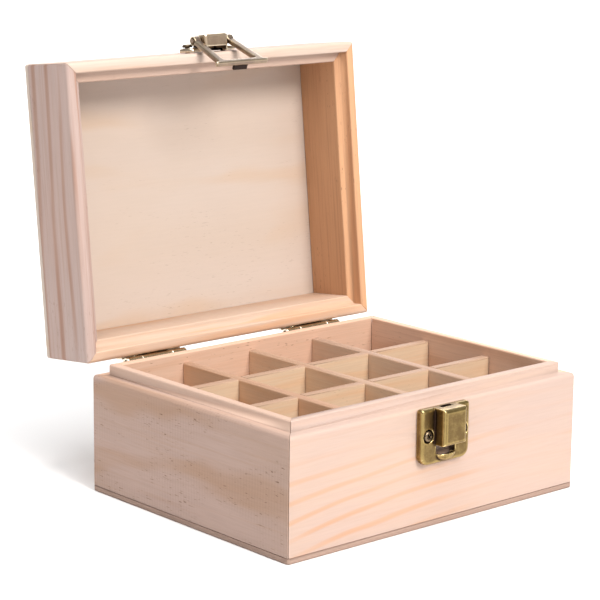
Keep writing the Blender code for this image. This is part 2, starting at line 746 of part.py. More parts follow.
def make_latch_plate(front_wall, lid_axis, brass, steel):
    """The plate on the lid: a pressed pan with a drawn bridge, bored for the loop's pin."""
    shut = -HINGE_AXIS
    low = RIM + LATCH_RISE
    sizes = (LATCH_WIDTH, low, low + LATCH_HEIGHT, LATCH_DEPTH, LATCH_CORNER, LATCH_CORNER)
    plate = add_object("latch_plate", pan_plate(*sizes), brass, lid_axis, shut, smooth=True)
    boolean(plate, add_tool("bridge form", bridge_form(0.0), lid_axis, shut), "UNION")
    boolean(plate, add_tool("latch pan hollow", pan_hollow(*sizes), lid_axis, shut), "DIFFERENCE")
    hollow = bridge_form(BRASS_SHEET)
    boolean(plate, add_tool("bridge hollow", hollow, lid_axis, shut), "DIFFERENCE")
    half = BRIDGE_WIDTH / 2 - BRASS_SHEET
    mouth = cuboid(
        (-half, FRONT - BRIDGE_MOUTH, RIM),
        (half, FRONT, RIM + BRIDGE_RISE + 2 * BRASS_SHEET),
    )
    boolean(plate, add_tool("bridge mouth", mouth, lid_axis, shut), "DIFFERENCE")
    height = RIM + LATCH_SCREW_RISE
    seat = GAP + LATCH_DEPTH
    fix_plate(
        "latch", plate, front_wall, LATCH_SCREW_SPACING, height, seat, steel, lid_axis, shut
    )
    bore = bmesh.new()
    rod(bore, LATCH_PIN_RADIUS + RUNNING, 2 * BRIDGE_WIDTH, LATCH_AXIS, (1, 0, 0))
    boolean(plate, add_tool("bridge bore", bore, lid_axis, shut), "DIFFERENCE")


def make_latch_pin(latch_axis, brass):
    """The pin through the bridge and the loop's eyes."""
    pin = bmesh.new()
    length = LOOP_WIDTH_AT_PIN + 2 * LATCH_PIN_OVERHANG
    rod(pin, LATCH_PIN_RADIUS, length, (0.0, 0.0, 0.0), (1, 0, 0))
    round_edges(pin, lambda edge: level(edge, 0, edge.verts[0].co.x), PIN_END_EASE, 1)
    add_object("latch_pin", pin, brass, latch_axis, smooth=True)


def make_loop(latch_axis, brass):
    """The stamped loop: two arms with eyes, a wide foot and a tab bent in to hook under the hood."""
    eye = LOOP_WIDTH_AT_PIN / 2
    knee = LOOP_WIDTH_AT_BAR / 2
    toe = LOOP_FOOT_WIDTH / 2
    foot = -LOOP_LENGTH - LOOP_BAR / 2
    bar_top = foot + LOOP_BAR
    round_toe = LOOP_FOOT_TIP / 2
    instep = foot + LOOP_FOOT_TIP + LOOP_CORNER

    right = arc((toe - round_toe, foot + round_toe), round_toe, -90, 90)
    right += arc((knee + LOOP_CORNER, instep), LOOP_CORNER, 270, 180)
    right += [(eye, 0.0), (eye - LOOP_ARM, 0.0)]
    right += arc((knee - LOOP_ARM - LOOP_CORNER, bar_top + LOOP_CORNER), LOOP_CORNER, 0, -90)
    left = [(-x, z) for x, z in reversed(right)]
    thick = LOOP_THICKNESS / 2
    bm = prism(right + left, -thick, thick, along_y)

    def long_edges(edge):
        faced = level(edge, 1, -thick) or level(edge, 1, thick)
        return faced and not level(edge, 2, 0.0)

    round_edges(bm, long_edges, LOOP_EDGE_RADIUS, 2)
    loop = add_object("latch_loop", bm, brass, latch_axis, smooth=True)

    eyes = bmesh.new()
    for side in (-1, 1):
        middle = (side * (eye - LOOP_ARM / 2), 0.0, 0.0)
        rod(eyes, LOOP_EYE_RADIUS, LOOP_ARM, middle, (1, 0, 0))
    boolean(loop, add_tool("loop eyes", eyes, latch_axis), "UNION")
    tab = cuboid(
        (-TAB_WIDTH / 2, 0.0, -LOOP_LENGTH - TAB_THICKNESS / 2),
        (TAB_WIDTH / 2, thick + TAB_LENGTH, -LOOP_LENGTH + TAB_THICKNESS / 2),
    )
    boolean(loop, add_tool("loop tab", tab, latch_axis), "UNION")
    bore = bmesh.new()
    rod(bore, LATCH_PIN_RADIUS + RUNNING, 2 * LOOP_WIDTH_AT_PIN, (0.0, 0.0, 0.0), (1, 0, 0))
    boolean(loop, add_tool("loop bore", bore, latch_axis), "DIFFERENCE")


def make_box():
    """Build every piece."""
    clear_scene()
    pine = material("pale pine", (0.80, 0.62, 0.45), 0.55)
    ply = material("thin panel", (0.74, 0.55, 0.38), 0.60)
    brass = material("antique brass", (0.42, 0.30, 0.13), 0.38, 1.0)
    steel = material("brassed screw", (0.38, 0.28, 0.15), 0.40, 1.0)

    lid_axis = axis_empty("lid hinge axis", HINGE_AXIS, turn=-LID_OPEN)
    latch_axis = axis_empty("latch axis", LATCH_AXIS - HINGE_AXIS, lid_axis, LOOP_LEAN)

    walls = four_walls("base", base_section(), pine)
    lid_walls = four_walls("lid", lid_section(), pine, lid_axis, -HINGE_AXIS)
    thin_panel("bottom_panel", 0.0, ply)
    thin_panel("lid_panel", LID_TOP - PANEL, ply, lid_axis, -HINGE_AXIS)
    make_dividers(pine)
    for side, x in (("left", -HINGE_CENTRE), ("right", HINGE_CENTRE)):
        make_hinge(side, x, walls, lid_walls, lid_axis, brass, steel)
    make_catch(walls["front"], brass, steel)
    make_latch_plate(lid_walls["front"], lid_axis, brass, steel)
    make_latch_pin(latch_axis, brass)
    make_loop(latch_axis, brass)


make_box()
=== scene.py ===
# %% [markdown]
# # A small pine case for oil bottles
# The case stands open on a pale floor. Its boards, dividers, hinges and latch come from the CAD
# frame at their real size. What is added here is what the eye asks for: the run of the grain in
# each board, antique brass that is bright where hands rub it and dark where they can't, with
# painted shade in its corners, and screws with real cross recesses.

# %% Load the frame
import math

import bpy
import numpy as np
from mathutils import Matrix, Vector


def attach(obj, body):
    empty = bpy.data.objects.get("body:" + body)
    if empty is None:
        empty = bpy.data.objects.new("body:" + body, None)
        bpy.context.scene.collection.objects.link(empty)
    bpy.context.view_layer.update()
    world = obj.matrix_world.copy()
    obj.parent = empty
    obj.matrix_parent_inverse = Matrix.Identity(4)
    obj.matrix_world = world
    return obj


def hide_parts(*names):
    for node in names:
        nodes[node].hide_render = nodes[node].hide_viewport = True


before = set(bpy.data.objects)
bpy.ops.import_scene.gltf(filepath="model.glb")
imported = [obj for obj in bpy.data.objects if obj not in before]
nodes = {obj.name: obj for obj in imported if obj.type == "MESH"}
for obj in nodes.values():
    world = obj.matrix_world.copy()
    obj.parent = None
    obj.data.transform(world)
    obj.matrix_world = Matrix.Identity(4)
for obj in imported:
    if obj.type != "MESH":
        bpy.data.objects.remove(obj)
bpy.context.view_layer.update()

print("nodes in the frame:", len(nodes))

# %% [markdown]
# ## Working with one piece at a time
# Operators act on everything that is selected, so each step starts by selecting one object alone.
# A CAD piece's mesh is loose triangles, and modifiers need joined faces. The CAD mesh is left as
# it is, and a copy of it is merged. Small helpers keep these habits short.

# %% Selecting, copying and applying
MERGE_DISTANCE = 0.000001


def pick(piece):
    """Select one object alone and make it active."""
    bpy.ops.object.select_all(action="DESELECT")
    piece.select_set(True)
    bpy.context.view_layer.objects.active = piece


def merged_copy(cad_name, piece_name):
    """Copy a CAD piece and join its loose triangles."""
    piece = bpy.data.objects.new(piece_name, nodes[cad_name].data.copy())
    bpy.context.scene.collection.objects.link(piece)
    pick(piece)
    bpy.ops.object.mode_set(mode="EDIT")
    bpy.ops.mesh.select_all(action="SELECT")
    bpy.ops.mesh.remove_doubles(threshold=MERGE_DISTANCE)
    bpy.ops.object.mode_set(mode="OBJECT")
    return piece


def apply_modifiers(piece):
    """Apply the stack from the top down."""
    pick(piece)
    for step in list(piece.modifiers):
        bpy.ops.object.modifier_apply(modifier=step.name)


def settle(piece):
    """Put the object's place into its mesh, so that it sits at the origin."""
    pick(piece)
    bpy.ops.object.transform_apply(location=True, rotation=True, scale=True)


def triangles(piece):
    """Count triangles as a renderer would."""
    return sum(len(face.vertices) - 2 for face in piece.data.polygons)


# %% [markdown]
# ## Building finishes from nodes
# A finish is a small machine: places go in, numbers come out, and numbers turn into colours. Its
# parts are nodes joined by links. One helper adds a node of any kind, the other a node that
# calculates, whose inputs are fixed numbers or links from other nodes.

# %% Adding nodes
def node(tree, kind, x, y, **settings):
    """Add a shader node at a place on the canvas."""
    made = tree.nodes.new(kind)
    made.location = (x, y)
    for name, value in settings.items():
        setattr(made, name, value)
    return made


def math_node(tree, operation, x, y, *values):
    """A Math node; each value is a number or a socket."""
    made = node(tree, "ShaderNodeMath", x, y, operation=operation)
    for slot, value in zip(made.inputs, values):
        if isinstance(value, (int, float)):
            slot.default_value = value
        else:
            tree.links.new(value, slot)
    return made.outputs["Value"]


# %% [markdown]
# Wood is long in one direction, so its noise is stretched: the coordinates are multiplied by a
# small factor along the grain and a large one across it before they reach the Noise node.

# %% Stretched noise
def scaled(tree, source, factors, x, y):
    """Stretch coordinates: small factors along the grain make long fibres."""
    made = node(tree, "ShaderNodeVectorMath", x, y, operation="MULTIPLY")
    tree.links.new(source, made.inputs[0])
    made.inputs[1].default_value = factors
    return made.outputs["Vector"]


def noise(tree, source, factors, x, y, detail=2.0, roughness=0.5):
    """Smooth random values between 0 and 1, stretched by three factors."""
    made = node(tree, "ShaderNodeTexNoise", x, y)
    tree.links.new(scaled(tree, source, factors, x - 200, y), made.inputs["Vector"])
    made.inputs["Scale"].default_value = 1.0
    made.inputs["Detail"].default_value = detail
    made.inputs["Roughness"].default_value = roughness
    return made.outputs["Fac"]


# %% [markdown]
# Some things change with height alone, or with depth. They start from one coordinate, and a span
# of it is carried over to the numbers that are wanted.

# %% One coordinate and its span
def coordinate(tree, source, axis, x, y):
    """One coordinate of a place."""
    made = node(tree, "ShaderNodeSeparateXYZ", x, y)
    tree.links.new(source, made.inputs["Vector"])
    return made.outputs[axis]


def remapped(tree, source, x, y, span, values):
    """Carry one span of numbers over to another, and hold still beyond its ends."""
    made = node(tree, "ShaderNodeMapRange", x, y)
    made.inputs["From Min"].default_value, made.inputs["From Max"].default_value = span
    made.inputs["To Min"].default_value, made.inputs["To Max"].default_value = values
    tree.links.new(source, made.inputs["Value"])
    return made.outputs["Result"]


# %% [markdown]
# Numbers become colours in a Color Ramp, and two colours are laid over each other in a Mix node.

# %% Colours
def ramp(tree, source, x, y, stops):
    """A Color Ramp from (position, colour) pairs; a plain number is a grey."""
    made = node(tree, "ShaderNodeValToRGB", x, y)
    made.color_ramp.interpolation = "EASE"
    elements = made.color_ramp.elements
    while len(elements) < len(stops):
        elements.new(0.5)
    for element, (position, colour) in zip(elements, stops):
        element.position = position
        grey = isinstance(colour, (int, float))
        element.color = (colour, colour, colour, 1.0) if grey else (*colour, 1.0)
    tree.links.new(source, made.inputs["Fac"])
    return made.outputs["Color"]


def blend_colours(tree, factor, first, second, x, y, mode="MIX"):
    """Mix two colours; each is a socket or a tuple."""
    made = node(tree, "ShaderNodeMix", x, y, data_type="RGBA", blend_type=mode)
    for name, value in (("Factor", factor), ("A", first), ("B", second)):
        kind = "VALUE" if name == "Factor" else "RGBA"
        slot = next(s for s in made.inputs if s.name == name and s.type == kind)
        if isinstance(value, tuple):
            slot.default_value = (*value, 1.0)
        elif isinstance(value, (int, float)):
            slot.default_value = value
        else:
            tree.links.new(value, slot)
    return next(s for s in made.outputs if s.type == "RGBA")


# %% [markdown]
# A Bump node bends the light by a height without moving the surface, which suits marks far finer
# than the mesh. Every finish starts from the object's own coordinates, so it stays on its piece
# when the piece moves.

# %% Bumps and materials
def roughen(tree, shader, source, x, y, strength, distance):
    """Bend the light on a surface by a height."""
    bump = node(tree, "ShaderNodeBump", x, y)
    bump.inputs["Strength"].default_value = strength
    bump.inputs["Distance"].default_value = distance
    tree.links.new(source, bump.inputs["Height"])
    tree.links.new(bump.outputs["Normal"], shader.inputs["Normal"])


def new_material(name):
    """A material with its tree, its shader and the object's own coordinates."""
    made = bpy.data.materials.new(name)
    made.use_nodes = True
    tree = made.node_tree
    shader = tree.nodes["Principled BSDF"]
    place = node(tree, "ShaderNodeTexCoord", -2200, 0).outputs["Object"]
    return made, tree, shader, place


# %% [markdown]
# ## Wood that was once a tree
# Grain is easiest to believe when it is built as it grew: rings round a pith line, cut by the
# faces of a board. So a board's coordinates are first turned until the grain runs along X. For the
# noises they are also shifted by a seed, because neighbours must not repeat each other.

# %% Coordinates of a board
SEED_STEP = (0.37, 0.11, 0.23)


def board_coordinates(tree, place, turn, seed):
    """Coordinates with the grain along X, and the same ones moved to the board's own noise."""
    lay = node(tree, "ShaderNodeMapping", -2000, 0)
    lay.inputs["Rotation"].default_value = [math.radians(angle) for angle in turn]
    tree.links.new(place, lay.inputs["Vector"])
    grain = lay.outputs["Vector"]
    elsewhere = node(tree, "ShaderNodeVectorMath", -1800, -100, operation="ADD")
    tree.links.new(grain, elsewhere.inputs[0])
    elsewhere.inputs[1].default_value = [step * seed for step in SEED_STEP]
    return grain, elsewhere.outputs["Vector"]


# %% [markdown]
# The distance from the pith gives the ring, so a face that is cut flat shows wide wandering
# figures, and a face that crosses the rings shows narrow stripes. Each board gets its own pith,
# tilted a little, as no sawyer cuts exactly along the trunk.
#
# Divided by the width of a year, the distance counts the rings, and what follows the point tells
# the season: pale earlywood first, dark latewood late in the year, then a quick fall back. A slow
# noise lets the rings wander, and a bow curves them along the board.

# %% Growth rings
RING_DRIFT = (11.0, 26.0, 26.0)


def growth_rings(tree, grain, own, pith, tilt, pitch, onset, wander, bow):
    """Latewood from 0 to 1, in rings of one pitch round a tilted pith line."""
    heart = node(tree, "ShaderNodeMapping", -1800, 200)
    heart.inputs["Location"].default_value = (0.0, -pith[0], -pith[1])
    heart.inputs["Rotation"].default_value = (0.0, math.radians(tilt[0]), math.radians(tilt[1]))
    tree.links.new(grain, heart.inputs["Vector"])
    around_pith = heart.outputs["Vector"]
    length = node(tree, "ShaderNodeVectorMath", -1400, 200, operation="LENGTH")
    tree.links.new(scaled(tree, around_pith, (0.0, 1.0, 1.0), -1600, 200), length.inputs[0])
    drift = noise(tree, own, RING_DRIFT, -1400, 0, roughness=0.4)
    shift = math_node(tree, "MULTIPLY", -1200, 0, drift, wander)
    phase = math_node(
        tree, "MULTIPLY_ADD", -1000, 100, length.outputs["Value"], 1.0 / pitch, shift
    )
    if bow:
        along = coordinate(tree, around_pith, "X", -1400, 400)
        squared = math_node(tree, "MULTIPLY", -1200, 400, along, along)
        phase = math_node(tree, "MULTIPLY_ADD", -900, 300, squared, bow / pitch, phase)
    season = math_node(tree, "FRACT", -800, 100, phase)
    return ramp(
        tree, season, -600, 100,
        [(0.0, 0.08), (0.12, 0.0), (onset, 0.08), (0.76, 1.0), (0.86, 0.85), (1.0, 0.08)]
    )


# %% [markdown]
# Not every year is dark. A slow noise decides which rings show as streaks and which stay faint,
# and on a board whose streaks lie low they fade out above a height.

# %% Streaks
STREAK_PATCHES = (8.0, 38.0, 38.0)
FAINT_RING = 0.10
FADED_STREAK = 0.15


def streak_strength(tree, place, own, bands, fade):
    """How strongly the latewood shows, from faint to full."""
    uneven = noise(tree, own, STREAK_PATCHES, -1400, -200)
    strength = ramp(tree, uneven, -1200, -200, [(bands[0], FAINT_RING), (bands[1], 1.0)])
    if fade is None:
        return strength
    level = coordinate(tree, place, "Z", -1400, -300)
    kept = remapped(tree, level, -1200, -300, fade, (1.0, FADED_STREAK))
    return math_node(tree, "MULTIPLY", -1000, -300, strength, kept)


# %% [markdown]
# Between the rings, pine has fibres, thin long lines and slow changes of tone. Resin ducts show as
# short dark dashes, crowded in some places and rare in others.

# %% Lines, tone and ducts
FIBRE = (70.0, 1700.0, 1700.0)
THIN_LINE = (17.0, 900.0, 900.0)
SLOW_TONE = (9.0, 24.0, 24.0)
DUCT = (330.0, 2300.0, 2300.0)
PATCH = (20.0, 60.0, 60.0)
DUCT_SOFTNESS = 0.07


def thin_lines(tree, own):
    """Long hairlines along the grain."""
    hair = noise(tree, own, THIN_LINE, -1400, -500)
    return ramp(tree, hair, -1200, -500, [(0.52, 0.0), (0.66, 1.0)])


def slow_tone(tree, own):
    """Where the wood is warmer."""
    slow = noise(tree, own, SLOW_TONE, -1400, -600, detail=3.0)
    return ramp(tree, slow, -1200, -600, [(0.32, 0.0), (0.72, 0.55)])


def resin_ducts(tree, own, patches, ducted):
    """Short dashes; the higher ducted is, the fewer there are."""
    duct = noise(tree, own, DUCT, -1400, -800, detail=1.0)
    return math_node(
        tree, "MULTIPLY", -1000, -800,
        ramp(tree, duct, -1200, -800, [(ducted, 0.0), (ducted + DUCT_SOFTNESS, 1.0)]),
        ramp(tree, patches, -1200, -900, [(0.42, 0.1), (0.62, 1.0)]),
    )


# %% [markdown]
# A planer leaves a faint ripple across the grain where its knives bounced. A Wave node draws the
# bands, distorted a little, and they darken the wood in patches.

# %% Planer ripple
RIPPLE_SCALE = 190.0
RIPPLE_SHADE = 0.88


def planer_ripple(tree, own, patches, wood, ripple):
    """Shade the wood in fine bands across the grain, in patches."""
    waves = node(tree, "ShaderNodeTexWave", -1400, -1100, wave_type="BANDS", bands_direction="X")
    tree.links.new(own, waves.inputs["Vector"])
    waves.inputs["Scale"].default_value = RIPPLE_SCALE
    waves.inputs["Distortion"].default_value = 3.0
    waves.inputs["Detail"].default_value = 2.0
    waves.inputs["Detail Scale"].default_value = 0.25
    shade = ramp(tree, waves.outputs["Fac"], 500, -1100, [(0.0, RIPPLE_SHADE), (1.0, 1.0)])
    shaded = blend_colours(tree, 1.0, wood, shade, 700, -100, "MULTIPLY")
    where = ramp(tree, patches, -1200, -1000, [(0.40, 0.0), (0.60, ripple)])
    return blend_colours(tree, where, wood, shaded, 900, 200)


# %% [markdown]
# A board can be cut in more than one way: a divider's top edge is sawn and darker than its planed
# sides, and is darkened further as painted shade. Other faces carry painted light: the left board's
# lip is painted lighter where light falls on it from above, and the lid's outer front darker where
# the back lamp lights it. Such a face lies beyond a place on one axis, and another colour is laid
# over it there.

# %% Other cuts and painted light
CUT_OR_LIGHT_BLUR = 0.0004
CUT_OR_LIGHT_COVER = 0.7


def other_cut_or_painted_light(tree, place, wood, above):
    """Lay another colour over the wood beyond a place on one axis."""
    axis, start, colour = above
    beyond = remapped(
        tree, coordinate(tree, place, axis, 900, 500), 1000, 500,
        (start - CUT_OR_LIGHT_BLUR, start), (0.0, 1.0)
    )
    covered = blend_colours(tree, CUT_OR_LIGHT_COVER, wood, colour, 1000, 300)
    return blend_colours(tree, beyond, wood, covered, 1100, 200)


# %% [markdown]
# Raw, sanded wood is dull. A little bump remains, because sanding wears soft earlywood more than
# latewood, and the ducts are tiny dents.

# %% The sanded surface
WOOD_ROUGHNESS = (0.52, 0.68)
WOOD_SHEEN = 0.14


def sanded_surface(tree, shader, fibre, figure, ducts):
    """A dull surface with proud latewood and dented ducts."""
    rough = remapped(tree, fibre, 500, -200, (0.0, 1.0), WOOD_ROUGHNESS)
    tree.links.new(rough, shader.inputs["Roughness"])
    shader.inputs["Specular IOR Level"].default_value = WOOD_SHEEN
    height = math_node(tree, "MULTIPLY_ADD", 500, -500, figure, 0.5, fibre)
    dented = math_node(tree, "MULTIPLY_ADD", 600, -600, ducts, -1.5, height)
    roughen(tree, shader, dented, 700, -400, strength=0.20, distance=0.00012)


# %% [markdown]
# One function lays all of this together for any board. It first gathers the numbers, and then
# lays one colour over another: rings, tone, lines, fibres, ducts, ripple, other cuts and
# painted light.

# %% Pine
RESIN = (0.16, 0.085, 0.05)


def pine(name, turn, pith, tilt, pitch, early, late, contrast, seed, warm,
         pores=0.25, ducted=0.70, ripple=0.0, lines=0.35, fibres=0.05,
         bands=(0.34, 0.62), onset=0.45, wander=2.2, bow=0.0, fade=None, above=None):
    """Pine for one board. Lengths are in metres, turn and tilt in degrees.

    early and late are the colours of a ring, warm that of the warmer patches. onset is when in
    the year the latewood starts. pores, ripple, lines and fibres are strengths. bands are the
    noise values between which streaks appear, fade the heights between which they fade out, and
    above another cut or a face of painted light or shade: its axis, its start and its colour.
    """
    made, tree, shader, place = new_material(name)
    grain, own = board_coordinates(tree, place, turn, seed)
    latewood = growth_rings(tree, grain, own, pith, tilt, pitch, onset, wander, bow)
    strength = streak_strength(tree, place, own, bands, fade)
    figure = math_node(tree, "MULTIPLY", -300, 0, latewood, strength)
    fibre = noise(tree, own, FIBRE, -1400, -400, detail=3.0)
    patches = noise(tree, own, PATCH, -1400, -900, detail=1.0)
    ducts = resin_ducts(tree, own, patches, ducted)

    ringed = math_node(tree, "MULTIPLY", -100, 0, figure, contrast)
    lined = math_node(tree, "MULTIPLY", 100, -300, thin_lines(tree, own), lines * 0.5)
    fibrous = ramp(tree, fibre, 100, -400, [(0.25, 1.0 - fibres), (0.75, 1.0 + 0.5 * fibres)])
    dotted = math_node(tree, "MULTIPLY", 300, -800, ducts, pores)
    wood = blend_colours(tree, ringed, early, late, 100, 200)
    wood = blend_colours(tree, slow_tone(tree, own), wood, warm, 300, 200)
    wood = blend_colours(tree, lined, wood, late, 400, 200)
    wood = blend_colours(tree, 1.0, wood, fibrous, 500, 200, "MULTIPLY")
    wood = blend_colours(tree, dotted, wood, RESIN, 700, 200)
    if ripple:
        wood = planer_ripple(tree, own, patches, wood, ripple)
    if above is not None:
        wood = other_cut_or_painted_light(tree, place, wood, above)
    tree.links.new(wood, shader.inputs["Base Color"])
    sanded_surface(tree, shader, fibre, figure, ducts)
    return made


# %% [markdown]
# ## Which board shows what
# The lid is modelled open, so the coordinates of its boards are first turned back by the angle it
# is open, and those of side boards by a quarter turn, to run along their own length. Three kinds
# of face get a colour of their own: the dividers' sawn tops, darker, partly as painted shade; the
# left board's lip, lighter, a painted highlight where light falls from above; and the lid's outer
# front, darker and pinker, a painted shade that tones down the back lamp's light on it.

# %% Directions and colours
LID_OPEN = 96.1
ALONG_FRONT = (0.0, 0.0, 0.0)
ALONG_SIDE = (0.0, 0.0, -90.0)
LID_ALONG_FRONT = (LID_OPEN, 0.0, 0.0)
LID_ALONG_SIDE = (LID_OPEN, 0.0, -90.0)

CREAM = (0.500, 0.374, 0.322)
BEIGE = (0.548, 0.457, 0.398)
GREY_PINE = (0.440, 0.315, 0.266)
PEACH = (0.580, 0.430, 0.335)
PINK_PINE = (0.650, 0.440, 0.325)
ORANGE = (0.540, 0.300, 0.180)
RED_BROWN = (0.330, 0.175, 0.120)
STRAW = (0.640, 0.475, 0.330)
HONEY = (0.640, 0.440, 0.290)
AMBER = (0.650, 0.375, 0.205)

# axis, where the cut or the painted light or shade starts on it in metres, colour
# The dividers' sawn tops are darker, and darkened further as painted shade that tones down the
# overhead light on the tops.
DIVIDER_TOP = ("Z", 0.0490, (0.310, 0.180, 0.130))
# The left board's lip is painted lighter, a painted highlight where its round edge catches light
# from above.
LEFT_LIP_PAINTED_HIGHLIGHT = ("Z", 0.0493, (0.640, 0.450, 0.350))
# The lid's outer front is painted darker and pinker, a painted shade that tones down the back
# lamp's light on it.
LID_FACE_PAINTED_SHADE = ("Y", 0.0772, (0.480, 0.330, 0.262))
print("the lid is open by", LID_OPEN, "degrees")

# %% [markdown]
# The base's front crosses its rings at a slant and shows broad soft orange streaks, most of them
# low down. The base's left side is greyer, with resin ducts and planer ripple.

# %% Boards of the base
plan = {
    "base_wall_front": dict(
        turn=ALONG_FRONT, pith=(-0.078, -0.034), tilt=(2.7, 0.5), pitch=0.0066, seed=1,
        early=CREAM, late=(0.530, 0.305, 0.190), warm=(0.545, 0.390, 0.300), contrast=0.95,
        pores=0.05, lines=0.08, fibres=0.03, bands=(0.34, 0.50), onset=0.58, wander=1.5,
        bow=0.48, fade=(0.029, 0.040)
    ),
    "base_wall_right": dict(
        turn=ALONG_SIDE, pith=(0.095, -0.030), tilt=(0.7, 0.4), pitch=0.0062, seed=2,
        early=(0.760, 0.530, 0.400), late=ORANGE, warm=(0.740, 0.450, 0.300), contrast=0.45,
        pores=0.5
    ),
    "base_wall_back": dict(
        turn=ALONG_FRONT, pith=(0.080, -0.020), tilt=(0.5, 0.6), pitch=0.0060, seed=3,
        early=PINK_PINE, late=ORANGE, warm=(0.660, 0.400, 0.280), contrast=0.45, pores=0.7
    ),
    "base_wall_left": dict(
        turn=ALONG_SIDE, pith=(-0.104, -0.046), tilt=(-2.5, 0.5), pitch=0.0130, seed=4,
        early=GREY_PINE, late=(0.385, 0.235, 0.155), warm=(0.400, 0.270, 0.200), contrast=0.75,
        # above 49.3 mm the lip is painted lighter, a painted highlight
        pores=0.80, ducted=0.668, ripple=0.45, bands=(0.40, 0.56), onset=0.55, above=LEFT_LIP_PAINTED_HIGHLIGHT
    ),
}
print("boards of the base planned:", len(plan))

# %% [markdown]
# The lid's left side shows narrow reddish stripes, and its right side is the most orange board of
# all.

# %% Boards of the lid
plan["lid_wall_front"] = dict(
    turn=LID_ALONG_FRONT, pith=(-0.100, 0.100), tilt=(0.5, 0.4), pitch=0.0060, seed=5,
    early=(0.600, 0.485, 0.415), late=ORANGE, warm=(0.590, 0.440, 0.350), contrast=0.35,
    # its outer front is painted darker and pinker, a painted shade against the back lamp's light
    above=LID_FACE_PAINTED_SHADE
)
plan["lid_wall_right"] = dict(
    turn=LID_ALONG_SIDE, pith=(0.110, 0.150), tilt=(0.6, 0.3), pitch=0.0050, seed=6,
    early=(0.600, 0.338, 0.190), late=(0.430, 0.220, 0.125), warm=(0.600, 0.335, 0.185),
    contrast=0.42, pores=0.9, lines=0.7
)
plan["lid_wall_back"] = dict(
    turn=LID_ALONG_FRONT, pith=(0.110, 0.120), tilt=(0.5, 0.4), pitch=0.0080, seed=7,
    early=PEACH, late=(0.600, 0.330, 0.180), warm=(0.600, 0.385, 0.255), contrast=0.75
)
plan["lid_wall_left"] = dict(
    turn=LID_ALONG_SIDE, pith=(-0.100, 0.160), tilt=(0.4, 0.3), pitch=0.0039, seed=8,
    early=(0.462, 0.356, 0.322), late=RED_BROWN, warm=(0.460, 0.320, 0.270), contrast=1.0,
    pores=0.6, ducted=0.67, bands=(0.28, 0.46), onset=0.60, wander=0.9
)
print("boards planned with the lid's:", len(plan))

# %% [markdown]
# The lid's panel is a calm sheet whose wide rings hardly show. The bottom panel is darker than the
# boards round it.

# %% Panels
plan["lid_panel"] = dict(
    turn=LID_ALONG_FRONT, pith=(0.040, 0.300), tilt=(0.9, 0.4), pitch=0.0310, seed=9,
    early=BEIGE, late=(0.540, 0.380, 0.260), warm=(0.520, 0.415, 0.335), contrast=0.60,
    pores=0.24, ducted=0.680, lines=0.06, fibres=0.015, onset=0.62, bands=(0.40, 0.56)
)
plan["bottom_panel"] = dict(
    turn=ALONG_FRONT, pith=(0.010, 0.120), tilt=(0.8, 0.6), pitch=0.0060, seed=10,
    early=(0.360, 0.250, 0.200), late=(0.240, 0.155, 0.120), warm=(0.310, 0.210, 0.165),
    contrast=0.45
)
print("boards and panels planned:", len(plan))

# %% [markdown]
# The dividers are straw-coloured strips. They share most of their look, and each gets a pith and a
# seed of its own, the cross ones also a tone.

# %% Dividers, and a finish for each board
for number, pith, pitch in ((1, (-0.060, -0.040), 0.0075), (2, (0.060, -0.050), 0.0070)):
    plan[f"long_divider_{number}"] = dict(
        turn=ALONG_FRONT, pith=pith, tilt=(0.6, 0.5), pitch=pitch, seed=10 + number,
        # the sawn top is darker, and darkened further as painted shade
        early=STRAW, late=AMBER, warm=HONEY, contrast=0.40, above=DIVIDER_TOP
    )
for number, pith, early, warm in (
    (1, (-0.080, -0.050), (0.740, 0.495, 0.320), (0.700, 0.420, 0.270)),
    (2, (0.070, -0.045), (0.740, 0.540, 0.370), (0.700, 0.460, 0.300)),
    (3, (0.090, -0.050), (0.700, 0.530, 0.390), (0.670, 0.460, 0.330)),
):
    plan[f"cross_divider_{number}"] = dict(
        turn=ALONG_SIDE, pith=pith, tilt=(0.6, 0.5), pitch=0.0065, seed=12 + number,
        # the sawn top is darker, and darkened further as painted shade
        early=early, late=AMBER, warm=warm, contrast=0.45, above=DIVIDER_TOP
    )

finishes = {}
for name, look in plan.items():
    finishes[name] = pine(f"pine, {name.replace('_', ' ')}", **look)
print("finishes for boards:", len(finishes))

# %% [markdown]
# ## Flat boards with eased edges
# The boards' edges are tiny curves. Smooth shading that treats all faces alike bends the light
# over the whole board towards such a curve, and the wood looks moulded, like soap. A Weighted
# Normal modifier lets the large faces decide, so they stay flat and only the curve catches light.

# %% Boards
BOARD_SHARP = math.radians(40.0)


def with_flat_faces(cad_name, finish):
    """Replace a CAD board by a merged copy whose large faces are shaded flat."""
    piece = merged_copy(cad_name, f"{cad_name}_planed")
    bpy.ops.object.shade_smooth_by_angle(angle=BOARD_SHARP)
    weigh = piece.modifiers.new("large faces decide", "WEIGHTED_NORMAL")
    weigh.weight = 100
    weigh.keep_sharp = True
    apply_modifiers(piece)
    piece.data.materials.clear()
    piece.data.materials.append(finish)
    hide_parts(cad_name)
    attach(piece, "box_lid" if cad_name.startswith("lid") else "box_base")
    return piece


boards = [with_flat_faces(name, finish) for name, finish in finishes.items()]
print("boards planed:", len(boards), "with", sum(triangles(board) for board in boards), "triangles")

# %% [markdown]
# ## Antique brass
# Plated fittings leave the bath dark and are tumbled, so their raised edges polish to gold while
# the hollows keep their brown, and the hollows and deep corners are darkened further as painted
# shade. To know an edge from a hollow, each vertex is compared with a smoothed copy of the
# surface: it stands proud at an edge and lies low in a hollow. A little smoothing finds edges, a
# lot of smoothing finds deep corners. Both numbers are stored on the mesh as attributes, wear and
# depth, and the finish reads them.

